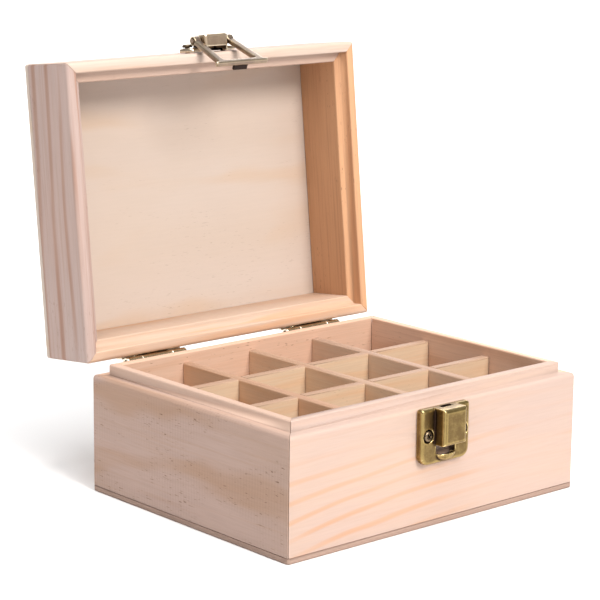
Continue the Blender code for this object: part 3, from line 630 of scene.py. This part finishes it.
# %% Measuring wear
def proudness(mesh, rounds):
    """How far each vertex stands out from its surface smoothed a number of rounds, in metres."""
    count = len(mesh.vertices)
    places = np.empty(count * 3)
    mesh.vertices.foreach_get("co", places)
    places = places.reshape(-1, 3)
    normals = np.empty(count * 3)
    mesh.vertices.foreach_get("normal", normals)
    normals = normals.reshape(-1, 3)
    ends = np.empty(len(mesh.edges) * 2, dtype=np.int64)
    mesh.edges.foreach_get("vertices", ends)
    first, second = ends.reshape(-1, 2).T
    links = np.bincount(first, minlength=count) + np.bincount(second, minlength=count)
    links = np.maximum(links, 1)[:, None]
    smooth = places.copy()
    for _ in range(rounds):
        total = np.zeros_like(smooth)
        for axis in range(3):
            total[:, axis] += np.bincount(first, weights=smooth[second, axis], minlength=count)
            total[:, axis] += np.bincount(second, weights=smooth[first, axis], minlength=count)
        smooth = 0.5 * smooth + 0.5 * total / links
    return ((places - smooth) * normals).sum(axis=1)


# %% [markdown]
# The two numbers are then scaled: about a tenth of a millimetre is a full edge, and half a
# millimetre is a full corner. Some places stay dark although they aren't corners, so a helper
# sinks them.

# %% Storing wear and depth
EDGE_ROUNDS, EDGE_HEIGHT = 12, 0.00012
CORNER_ROUNDS, CORNER_DEPTH = 240, 0.00050


def store(mesh, name, values):
    """Keep one number for each vertex as an attribute."""
    attribute = mesh.attributes.new(name, "FLOAT", "POINT")
    attribute.data.foreach_set("value", np.asarray(values, dtype=np.float32))


def mark_wear_and_shade(piece):
    """Wear runs from -1 in a groove to 1 on an edge, depth from 0 in the open to 1 in a corner."""
    mesh = piece.data
    store(mesh, "wear", np.clip(proudness(mesh, EDGE_ROUNDS) / EDGE_HEIGHT, -1.0, 1.0))
    store(mesh, "depth", np.clip(-proudness(mesh, CORNER_ROUNDS) / CORNER_DEPTH, 0.0, 1.0))


def leave_dark(piece, inside):
    """Sink the wear of every vertex for which inside(place) is true."""
    wear = piece.data.attributes["wear"].data
    depth = piece.data.attributes["depth"].data
    hidden = [vertex.index for vertex in piece.data.vertices if inside(vertex.co)]
    for number in hidden:
        wear[number].value = -1.0
        depth[number].value = 1.0
    print("vertices left dark on", piece.name, len(hidden))


# %% [markdown]
# The finish turns both numbers into one, and that one into colour: brown, olive brass, gold.
# Cloudy noise shifts it a little, because tumbling is never even, and the roughness follows, so
# rubbed places also shine.

# %% A worn plating
CLOUDS = (230.0, 230.0, 230.0)
SPECKS = (1610.0, 1610.0, 1610.0)
CLOUD_SHIFT = 0.34
SPECK_SHIFT = 0.10
DEPTH_WEIGHT = -0.42
DULLER, SHINIER = 0.14, 0.08


def plated(name, hollow, face, edge, glint, roughness):
    """A plated metal that is worn at its edges and dark in its corners."""
    made, tree, shader, place = new_material(name)
    wear = node(tree, "ShaderNodeAttribute", -1400, 300, attribute_name="wear").outputs["Fac"]
    depth = node(tree, "ShaderNodeAttribute", -1400, 500, attribute_name="depth").outputs["Fac"]
    middle = math_node(tree, "MULTIPLY_ADD", -1200, 300, wear, 0.5, 0.5)
    # Depth darkens the deep corners: partly patina, partly painted shade.
    sunk = math_node(tree, "MULTIPLY_ADD", -1000, 400, depth, DEPTH_WEIGHT, middle)
    clouds = noise(tree, place, CLOUDS, -1400, 0, detail=4.0, roughness=0.6)
    specks = noise(tree, place, SPECKS, -1400, -200)
    lift = math_node(tree, "MULTIPLY_ADD", -1200, 0, clouds, CLOUD_SHIFT, -CLOUD_SHIFT / 2)
    fine = math_node(tree, "MULTIPLY_ADD", -1200, -200, specks, SPECK_SHIFT, -SPECK_SHIFT / 2)
    uneven = math_node(tree, "ADD", -1000, 0, lift, fine)
    rubbed = math_node(tree, "ADD", -900, 200, sunk, uneven)
    colour = ramp(
        tree, rubbed, -700, 200,
        [(0.14, hollow), (0.46, face), (0.64, edge), (0.92, glint)]
    )
    tree.links.new(colour, shader.inputs["Base Color"])
    rough = remapped(
        tree, rubbed, -700, -100, (0.2, 0.8), (roughness + DULLER, roughness - SHINIER)
    )
    tree.links.new(rough, shader.inputs["Roughness"])
    shader.inputs["Metallic"].default_value = 1.0
    roughen(tree, shader, specks, -500, -400, strength=0.18, distance=0.00006)
    return made


# %% [markdown]
# The fittings came from different baths: the catch is olive, the loop and the latch plate are
# paler, and pinker with a painted reflection of the pink wood round them, the hinges shine most,
# and the screws have a dull plating of their own. Each finish names its colours from the hollow to
# the glint on an edge.

# %% Brass finishes
antique_brass = plated(
    "antique brass", hollow=(0.034, 0.019, 0.013), face=(0.165, 0.107, 0.043),
    edge=(0.330, 0.235, 0.090), glint=(0.780, 0.600, 0.290), roughness=0.33
)
# The loop's colours are pinker, a painted reflection of the pink wood round it.
loop_brass = plated(
    "antique brass, loop", hollow=(0.036, 0.024, 0.020), face=(0.235, 0.172, 0.135),
    edge=(0.370, 0.285, 0.200), glint=(0.760, 0.650, 0.450), roughness=0.36
)
# The latch plate's colours are pinker as well, a painted reflection of the pink wood round it.
pale_brass = plated(
    "antique brass, latch plate", hollow=(0.026, 0.018, 0.014), face=(0.380, 0.275, 0.195),
    edge=(0.560, 0.430, 0.300), glint=(0.900, 0.790, 0.600), roughness=0.36
)
hinge_brass = plated(
    "antique brass, hinges", hollow=(0.014, 0.009, 0.007), face=(0.230, 0.150, 0.075),
    edge=(0.560, 0.430, 0.260), glint=(0.950, 0.890, 0.750), roughness=0.28
)
screw_metal = plated(
    "worn screw plating", hollow=(0.010, 0.007, 0.005), face=(0.135, 0.095, 0.062),
    edge=(0.300, 0.230, 0.150), glint=(0.700, 0.600, 0.420), roughness=0.34
)
metals = (antique_brass, loop_brass, pale_brass, hinge_brass, screw_metal)
print("metal finishes:", [metal.name for metal in metals])

# %% [markdown]
# ## Pressed plates, loop and hinge leaves
# A press leaves no sharp corner: every edge and every inner corner of the sheet is a small
# curve. The CAD shapes have the right sizes but crisp seams where their forms meet. A merged copy
# of each is therefore rebuilt on a fine even grid by a Remesh modifier, and relaxed by a Smooth
# modifier. The grid is a quarter of the sheet's thickness or less, so no hole closes.

# %% Pressed pieces
def keep_inside(piece, cad_node):
    """Move vertices that a modifier left a hair outside the CAD shape's box back to it."""
    allowed = np.array([vertex.co for vertex in cad_node.data.vertices])
    places = np.array([vertex.co for vertex in piece.data.vertices])
    kept = np.clip(places, allowed.min(axis=0), allowed.max(axis=0))
    piece.data.vertices.foreach_set("co", kept.ravel())
    piece.data.update()


def pressed(cad_name, piece_name, body, grid, rounds, finish):
    """Replace a CAD fitting by a softly rounded copy."""
    piece = merged_copy(cad_name, piece_name)
    cells = piece.modifiers.new("even grid", "REMESH")
    cells.mode = "VOXEL"
    cells.voxel_size = grid
    relax = piece.modifiers.new("relaxed corners", "SMOOTH")
    relax.factor = 0.5
    relax.iterations = rounds
    apply_modifiers(piece)
    keep_inside(piece, nodes[cad_name])
    pick(piece)
    bpy.ops.object.shade_smooth()
    mark_wear_and_shade(piece)
    piece.data.materials.clear()
    piece.data.materials.append(finish)
    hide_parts(cad_name)
    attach(piece, body)
    print(piece_name, triangles(piece), "triangles")
    return piece


# %% [markdown]
# The grid is given in metres, finer where a piece's forms are finer. The loop is relaxed for more
# rounds than the rest, because its arms are worn round by fingers.

# %% Catch, latch, loop and hinge leaves
catch = pressed(
    "catch_plate", "pressed_catch", "box_base", grid=0.00020, rounds=4, finish=antique_brass
)
pressed(
    "latch_plate", "pressed_latch_plate", "box_lid", grid=0.00022, rounds=4, finish=pale_brass
)
loop = pressed(
    "latch_loop", "stamped_loop", "loop", grid=0.00018, rounds=12, finish=loop_brass
)
for side in ("left", "right"):
    pressed(
        f"hinge_base_leaf_{side}", f"rolled_base_leaf_{side}", "box_base",
        grid=0.00025, rounds=2, finish=hinge_brass
    )
    pressed(
        f"hinge_lid_leaf_{side}", f"rolled_lid_leaf_{side}", "box_lid",
        grid=0.00025, rounds=2, finish=hinge_brass
    )

# %% [markdown]
# Two places are left dark although they aren't corners: the inside of the slot in the hood's top,
# as painted shade in the hole, and the loop's bent tab. The slot is found by its place under the
# hood's top, the tab by how far it lies down the loop from the pin and out of the loop's plane.

# %% Slot and tab
HOOD_TOP = max(vertex.co.z for vertex in nodes["catch_plate"].data.vertices)
SLOT_MIDDLE = -0.0636
SLOT_HALF_LENGTH = 0.0031
SLOT_HALF_WIDTH = 0.0013
SLOT_DEPTH = 0.0013
# The slot's inside is painted dark, a painted shade in the hole.
leave_dark(catch, lambda place: (
    abs(place.x) < SLOT_HALF_LENGTH
    and abs(place.y - SLOT_MIDDLE) < SLOT_HALF_WIDTH
    and place.z > HOOD_TOP - SLOT_DEPTH
))

pin_places = np.array([vertex.co for vertex in nodes["latch_pin"].data.vertices])
LOOP_AXIS = Vector((pin_places.min(axis=0) + pin_places.max(axis=0)) / 2)
LOOP_TILT = 27.0
TAB_HALF_WIDTH = 0.0040
TAB_START = 0.0190
LOOP_HALF_THICKNESS = 0.00125
lean = math.radians(LOOP_TILT - LID_OPEN)
loop_down = Vector((0.0, math.sin(lean), -math.cos(lean)))
loop_inward = Vector((1.0, 0.0, 0.0)).cross(loop_down)
leave_dark(loop, lambda place: (
    abs(place.x) < TAB_HALF_WIDTH
    and abs(loop_inward.dot(place - LOOP_AXIS)) > LOOP_HALF_THICKNESS
    and loop_down.dot(place - LOOP_AXIS) > TAB_START
))
print("hood's top in mm:", round(1000 * HOOD_TOP, 2))
print("loop's axis in mm:", [round(1000 * value, 2) for value in LOOP_AXIS])

# %% [markdown]
# The pins are turned rod and need no new shape, only the loop's metal.

# %% Pins
for name in ("hinge_pin_left", "hinge_pin_right", "latch_pin"):
    nodes[name].data.materials.clear()
    nodes[name].data.materials.append(loop_brass)
    print(name, "is given", loop_brass.name)

# %% [markdown]
# ## Screws with cross recesses
# Each screw starts as a primitive of the head's size, and its bottom face is inset and drawn out
# into the shank. Faces and edges are selected by their height, which works as long as the screw
# stands upright at the origin. One is made for each kind and length, and copied to its places.

# %% Drawing out a shank
SHANK_RADIUS = 0.0010
POINT_LENGTH = 2 * SHANK_RADIUS
POINT_WIDTH = 0.1
HEAD_SIDES = 40
SAME_HEIGHT = 0.000001


def at_height(piece, height):
    """Select only the faces or edges at one height, in edit mode."""
    bpy.ops.object.mode_set(mode="OBJECT")
    mesh = piece.data
    for vertex in mesh.vertices:
        vertex.select = abs(vertex.co.z - height) < SAME_HEIGHT
    for edge in mesh.edges:
        edge.select = all(mesh.vertices[i].select for i in edge.vertices)
    for face in mesh.polygons:
        face.select = all(mesh.vertices[i].select for i in face.vertices)
    bpy.ops.object.mode_set(mode="EDIT")


def draw_shank(piece, head_radius, head_height, reach):
    """Inset the underside and extrude it into a pointed shank."""
    bpy.ops.mesh.select_mode(type="FACE")
    at_height(piece, -head_height)
    bpy.ops.mesh.inset(thickness=head_radius - SHANK_RADIUS)
    body = reach - head_height - POINT_LENGTH
    bpy.ops.mesh.extrude_region_move(TRANSFORM_OT_translate={"value": (0.0, 0.0, -body)})
    bpy.ops.mesh.extrude_region_move(
        TRANSFORM_OT_translate={"value": (0.0, 0.0, -POINT_LENGTH)}
    )
    bpy.ops.transform.resize(value=(POINT_WIDTH, POINT_WIDTH, 1.0))


# %% [markdown]
# The cross is what a punch leaves: two bars that narrow downwards, taken out of the head one after
# the other by a Boolean modifier.

# %% The cross recess
NARROWING = 0.55


def cut_cross(piece, arm, width, depth):
    """Take a cross recess out of the head."""
    for number, turn in enumerate((0.0, 90.0)):
        bpy.ops.object.select_all(action="DESELECT")
        bpy.ops.mesh.primitive_cube_add(size=1.0, location=(0.0, 0.0, 0.0))
        bar = bpy.context.object
        bar.scale = (2 * arm, width, 2 * depth)
        bar.rotation_euler = (0.0, 0.0, math.radians(turn))
        settle(bar)
        at_height(bar, -depth)
        bpy.ops.transform.resize(value=(NARROWING, NARROWING, 1.0))
        bpy.ops.object.mode_set(mode="OBJECT")
        recess = piece.modifiers.new(f"recess {number}", "BOOLEAN")
        recess.operation = "DIFFERENCE"
        recess.solver = "EXACT"
        recess.object = bar
        apply_modifiers(piece)
        bpy.data.objects.remove(bar, do_unlink=True)


# %% [markdown]
# The punch leaves its edges a little round. The recess never saw the tumbler, so its wear and
# depth are set to the darkest, which also paints shade into the recess, while the head's face is
# a little bright and its rim a little dull.

# %% The screw's finish
EASED_EDGE = 0.00006
EASED_ANGLE = math.radians(40.0)
SMOOTH_ANGLE = math.radians(50.0)
RECESS_REACH = 1.08
RECESS_START = 0.00004
RIM_START = 0.0019
FACE_WEAR = 0.06
RIM_WEAR = -0.15


def finish_screw(piece, arm):
    """Ease the edges, shade by angle and mark what lies below the recess's rim as dark."""
    edges = piece.modifiers.new("eased edges", "BEVEL")
    edges.width = EASED_EDGE
    edges.segments = 2
    edges.limit_method = "ANGLE"
    edges.angle_limit = EASED_ANGLE
    apply_modifiers(piece)
    pick(piece)
    bpy.ops.object.shade_smooth_by_angle(angle=SMOOTH_ANGLE)
    heights = np.array([vertex.co.z for vertex in piece.data.vertices])
    radii = np.array([vertex.co.xy.length for vertex in piece.data.vertices])
    # Below the rim of the cross, the recess is painted darkest: painted shade in the recess.
    recess = (radii < RECESS_REACH * arm) & (heights < -RECESS_START)
    face = np.where(radii > RIM_START, RIM_WEAR, FACE_WEAR)
    store(piece.data, "wear", np.where(recess, -1.0, face))
    store(piece.data, "depth", np.where(recess, 1.0, 0.0))
    piece.data.materials.append(screw_metal)


# %% [markdown]
# The catch and the latch plate are held by pan heads. A cylinder's top edge is bevelled in six
# steps until it is a dome.

# %% A pan-head screw
PAN_RADIUS = 0.00215
PAN_HEIGHT = 0.0013
PAN_DOME = 0.0009
# arm, width and depth of the cross
PAN_CROSS = (0.00142, 0.00082, 0.00095)


def pan_screw(name, reach):
    """A dome-headed screw standing on +Z, its top at the origin."""
    bpy.ops.object.select_all(action="DESELECT")
    bpy.ops.mesh.primitive_cylinder_add(
        vertices=HEAD_SIDES, radius=PAN_RADIUS, depth=PAN_HEIGHT,
        location=(0.0, 0.0, -PAN_HEIGHT / 2)
    )
    piece = bpy.context.object
    piece.name = name
    settle(piece)
    bpy.ops.object.mode_set(mode="EDIT")
    bpy.ops.mesh.select_mode(type="EDGE")
    at_height(piece, 0.0)
    bpy.ops.mesh.bevel(offset=PAN_DOME, segments=6, profile=0.5, affect="EDGES")
    draw_shank(piece, PAN_RADIUS, PAN_HEIGHT, reach)
    bpy.ops.object.mode_set(mode="OBJECT")
    cut_cross(piece, *PAN_CROSS)
    finish_screw(piece, PAN_CROSS[0])
    return piece


# %% [markdown]
# The hinge screws have flat heads of the size of the leaf's countersink. Their head starts as a
# cone that narrows downwards, and needs no bevel.

# %% A flat-head screw
FLAT_RADIUS = 0.0020
FLAT_HEIGHT = 0.0010
FLAT_NECK = 1.05 * SHANK_RADIUS
# arm, width and depth of the cross
FLAT_CROSS = (0.00125, 0.00070, 0.00070)


def flat_screw(name, reach):
    """A countersunk screw standing on +Z, its top at the origin."""
    bpy.ops.object.select_all(action="DESELECT")
    bpy.ops.mesh.primitive_cone_add(
        vertices=HEAD_SIDES, radius1=FLAT_NECK, radius2=FLAT_RADIUS, depth=FLAT_HEIGHT,
        location=(0.0, 0.0, -FLAT_HEIGHT / 2)
    )
    piece = bpy.context.object
    piece.name = name
    settle(piece)
    bpy.ops.object.mode_set(mode="EDIT")
    draw_shank(piece, FLAT_NECK, FLAT_HEIGHT, reach)
    bpy.ops.object.mode_set(mode="OBJECT")
    cut_cross(piece, *FLAT_CROSS)
    finish_screw(piece, FLAT_CROSS[0])
    return piece


# %% [markdown]
# ## Driving the screws home
# Each copy's head goes to the point of its CAD screw that lies furthest out, and the pattern is
# made as long as the CAD screw reaches. On a pan head that point is the middle of its dome. A flat
# head is level, and the point that is found lies on its rim, so a hinge screw sits one head's
# radius beside the middle of its hole.

# %% Finding a screw's place
def drive(pattern, cad_name, piece_name, body, outward, spin):
    """Copy a screw to the outermost point of a CAD one, its head facing outward."""
    outward = Vector(outward).normalized()
    tip = max((vertex.co for vertex in nodes[cad_name].data.vertices), key=outward.dot)
    piece = bpy.data.objects.new(piece_name, pattern.data.copy())
    bpy.context.scene.collection.objects.link(piece)
    face_out = Vector((0.0, 0.0, 1.0)).rotation_difference(outward).to_matrix().to_4x4()
    spun = Matrix.Rotation(math.radians(spin), 4, "Z")
    piece.matrix_world = Matrix.Translation(tip) @ face_out @ spun
    settle(piece)
    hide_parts(cad_name)
    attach(piece, body)
    return piece


def reach_of(cad_name, outward):
    """How long a CAD screw is along its own axis."""
    outward = Vector(outward).normalized()
    stations = [outward.dot(vertex.co) for vertex in nodes[cad_name].data.vertices]
    return max(stations) - min(stations)


# %% [markdown]
# The patterns are made to the length of one CAD screw of each kind. The lid's screws point along
# directions that opened with the lid.

# %% One pattern of each kind
opened = math.radians(LID_OPEN)
FORWARD = (0.0, -1.0, 0.0)
BACKWARD = (0.0, 1.0, 0.0)
LID_FORWARD = (0.0, -math.cos(opened), math.sin(opened))
LID_BACKWARD = (0.0, math.cos(opened), -math.sin(opened))

catch_pattern = pan_screw("catch screw pattern", reach_of("catch_screw_1", FORWARD))
latch_pattern = pan_screw("latch screw pattern", reach_of("latch_screw_1", LID_FORWARD))
hinge_pattern = flat_screw("hinge screw pattern", reach_of("hinge_base_screw_left_1", BACKWARD))
for pattern in (catch_pattern, latch_pattern, hinge_pattern):
    print(pattern.name, triangles(pattern), "triangles")

# %% [markdown]
# Every cross is left at an angle of its own, as a hand leaves it.

# %% Placing the screws
spins = iter((38.0, 12.0, 64.0, 27.0, 5.0, 41.0, 73.0, 20.0, 55.0, 80.0, 33.0, 48.0))
screws = []
for number in (1, 2):
    screws.append(drive(
        catch_pattern, f"catch_screw_{number}", f"catch_cross_screw_{number}",
        "box_base", FORWARD, next(spins)
    ))
    screws.append(drive(
        latch_pattern, f"latch_screw_{number}", f"latch_cross_screw_{number}",
        "box_lid", LID_FORWARD, next(spins)
    ))
for side in ("left", "right"):
    for number in (1, 2):
        screws.append(drive(
            hinge_pattern, f"hinge_base_screw_{side}_{number}",
            f"hinge_base_cross_screw_{side}_{number}", "box_base", BACKWARD, next(spins)
        ))
        screws.append(drive(
            hinge_pattern, f"hinge_lid_screw_{side}_{number}",
            f"hinge_lid_cross_screw_{side}_{number}", "box_lid", LID_BACKWARD, next(spins)
        ))
for pattern in (catch_pattern, latch_pattern, hinge_pattern):
    bpy.data.objects.remove(pattern, do_unlink=True)
print("screws driven:", len(screws))

# %% [markdown]
# ## The studio
# A pale floor runs past the picture, and a white surround fills the shadows. The floor is painted
# with a mottle too faint to see, so that it isn't perfectly even.

# %% Floor and surround
FLOOR_SIZE = 14.0
FLOOR_MIDDLE = (0.0, 3.0, 0.0)
MOTTLE = (3.0, 3.0, 3.0)

bpy.ops.object.select_all(action="DESELECT")
bpy.ops.mesh.primitive_plane_add(size=FLOOR_SIZE, location=FLOOR_MIDDLE)
floor = bpy.context.object
floor.name = "studio_floor"
settle(floor)
floor_paint, floor_tree, floor_shader, floor_place = new_material("pale floor paint")
mottle = noise(floor_tree, floor_place, MOTTLE, -700, 0)
floor_tone = ramp(floor_tree, mottle, -400, 0, [(0.3, 0.93), (0.7, 0.95)])
floor_tree.links.new(floor_tone, floor_shader.inputs["Base Color"])
floor_shader.inputs["Roughness"].default_value = 0.9
floor.data.materials.append(floor_paint)

surround = bpy.data.worlds.new("white surround")
surround.use_nodes = True
surround.node_tree.nodes["Background"].inputs["Color"].default_value = (0.97, 0.98, 1.0, 1.0)
surround.node_tree.nodes["Background"].inputs["Strength"].default_value = 0.40
bpy.context.scene.world = surround
print("floor size in m:", [round(length, 2) for length in floor.dimensions])

# %% [markdown]
# One broad warm lamp stands high in front, which leaves the left faces about half as bright as the
# front. A softer one overhead keeps the floor white where the first leaves a shadow. Metal shows
# what it mirrors, so a broad lamp stands behind, for the tops to reflect. It adds no diffuse
# light. The Standard view transform shows colours as they were set.

# %% Lamps
BACK_LAMP_PLACE = (1.25, 1.40, 0.85)
BACK_LAMP_TARGET = Vector((0.0, 0.0, 0.08))


def far_lamp(name, towards, strength, spread, colour):
    """A sun lamp: even light from one direction, softened by its spread in degrees."""
    data = bpy.data.lights.new(name, "SUN")
    data.energy = strength
    data.angle = math.radians(spread)
    data.color = colour
    lamp = bpy.data.objects.new(name, data)
    lamp.rotation_euler = Vector(towards).to_track_quat("Z", "Y").to_euler()
    bpy.context.scene.collection.objects.link(lamp)


far_lamp("key lamp", (0.02, -1.55, 1.15), strength=3.0, spread=26.0, colour=(1.0, 0.965, 0.925))
far_lamp("overhead lamp", (-0.10, -0.15, 1.0), strength=2.5, spread=50.0, colour=(1.0, 1.0, 1.0))
bpy.ops.object.select_all(action="DESELECT")
bpy.ops.object.light_add(type="AREA", location=BACK_LAMP_PLACE)
back_lamp = bpy.context.object
back_lamp.name = "back lamp"
back_lamp.data.shape = "RECTANGLE"
back_lamp.data.size = 1.6
back_lamp.data.size_y = 1.0
back_lamp.data.energy = 22.0
back_lamp.visible_diffuse = False
to_target = BACK_LAMP_TARGET - back_lamp.location
back_lamp.rotation_euler = to_target.to_track_quat("-Z", "Y").to_euler()
bpy.context.scene.view_settings.view_transform = "Standard"

# %% [markdown]
# ## The camera
# The picture was taken from the front left, a little above, with a long lens. The place in metres
# and the angles in radians were worked out from the straight edges of the boards in it.

# %% Camera
PLACE = (-0.58460, -0.64300, 0.26730)
AZIMUTH = 0.721
ELEVATION = 0.213
ROLL = 0.010
camera_data = bpy.data.cameras.new("photo camera")
camera_data.lens = 132.03
camera_data.sensor_width = 36.0
camera_data.clip_start = 0.05
camera_data.clip_end = 30.0
camera = bpy.data.objects.new("photo camera", camera_data)
bpy.context.scene.collection.objects.link(camera)
aim = Matrix.Rotation(-AZIMUTH, 4, "Z") @ Matrix.Rotation(math.pi / 2 - ELEVATION, 4, "X")
aim = aim @ Matrix.Rotation(ROLL, 4, "Z")
camera.matrix_world = Matrix.Translation(PLACE) @ aim
bpy.context.scene.camera = camera
print("camera lens in mm:", camera_data.lens)
